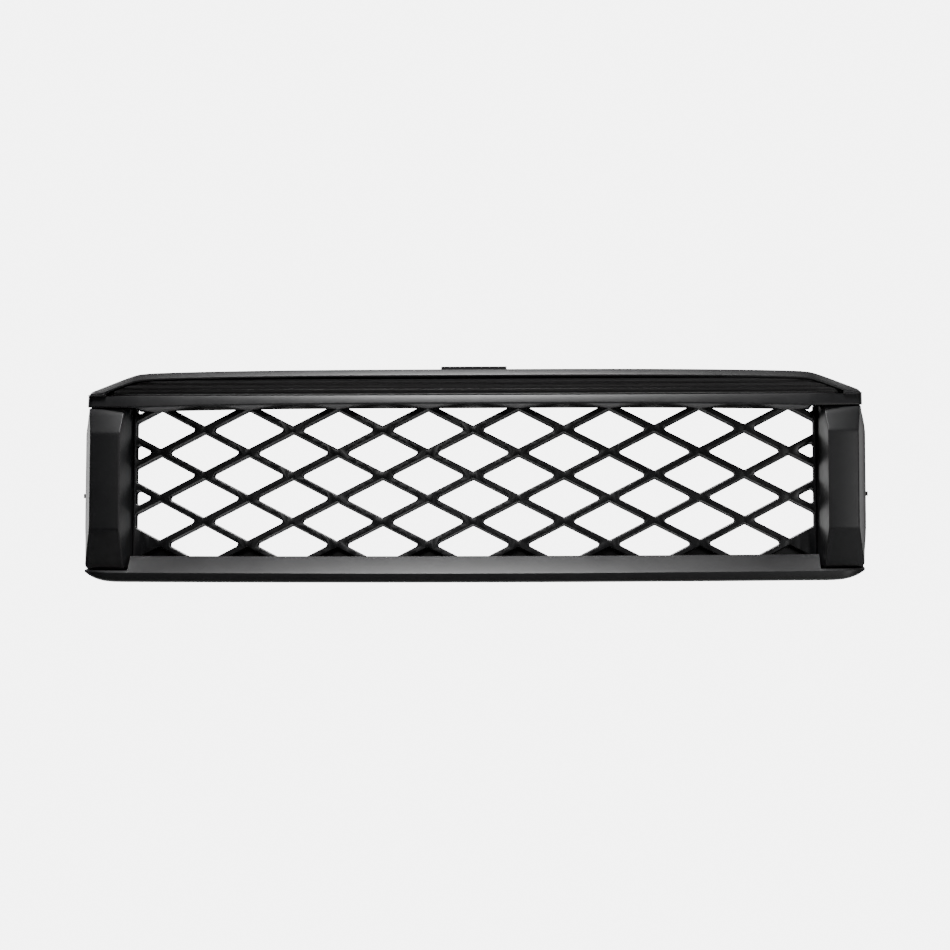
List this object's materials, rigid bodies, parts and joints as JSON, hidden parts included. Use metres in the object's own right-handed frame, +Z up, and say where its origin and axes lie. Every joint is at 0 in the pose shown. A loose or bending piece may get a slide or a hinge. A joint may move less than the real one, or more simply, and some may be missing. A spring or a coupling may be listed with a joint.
{
  "type": "front grille",
  "caption": "Black vehicle front grille with a bowed diamond mesh between a ribbed upper bar, a bevelled lower bar and faceted end pillars, on a rear frame with tabs.",
  "frame": {"origin": "centre of the whole object's bounding box", "axes": "+X along the width, to the right as seen from in front; the grille's front faces -Y; +Z is up"},
  "size_m": [0.909, 0.1532, 0.2446],
  "materials": {
    "satin_black_plastic": "satin injection moulding, black",
    "mesh_black_plastic": "semi-gloss injection moulding, black",
    "ribbed_black_plastic": "matt fine-ribbed moulding, black",
    "frame_plastic": "matt glass-filled moulding, black",
    "screw_steel": "black zinc plated steel",
    "zinc_steel": "zinc plated steel",
    "clip_plastic": "nylon, dark grey"
  },
  "bodies": {
    "root": {"upper_bar": "satin_black_plastic", "lower_bar": "satin_black_plastic", "left_pillar": "satin_black_plastic", "right_pillar": "satin_black_plastic", "upper_rib_strip": "ribbed_black_plastic", "mesh_insert": "mesh_black_plastic", "top_rail": "frame_plastic", "bottom_rail": "frame_plastic", "left_end_bracket": "frame_plastic", "right_end_bracket": "frame_plastic", "upper_screw_1": "screw_steel", "upper_screw_2": "screw_steel", "upper_screw_3": "screw_steel", "upper_screw_4": "screw_steel", "upper_screw_5": "screw_steel", "upper_screw_6": "screw_steel", "lower_screw_1": "screw_steel", "lower_screw_2": "screw_steel", "lower_screw_3": "screw_steel", "lower_screw_4": "screw_steel", "lower_screw_5": "screw_steel", "lower_screw_6": "screw_steel", "left_pillar_screw_1": "screw_steel", "left_pillar_screw_2": "screw_steel", "left_corner_screw_1": "screw_steel", "left_corner_screw_2": "screw_steel", "right_pillar_screw_1": "screw_steel", "right_pillar_screw_2": "screw_steel", "right_corner_screw_1": "screw_steel", "right_corner_screw_2": "screw_steel", "top_limiter_1": "zinc_steel", "top_limiter_2": "zinc_steel", "top_limiter_3": "zinc_steel", "top_limiter_4": "zinc_steel", "left_clip_nut": "zinc_steel", "right_clip_nut": "zinc_steel", "lower_clip_1": "clip_plastic", "lower_clip_2": "clip_plastic", "lower_clip_3": "clip_plastic", "lower_clip_4": "clip_plastic"}
  },
  "joints": []
}
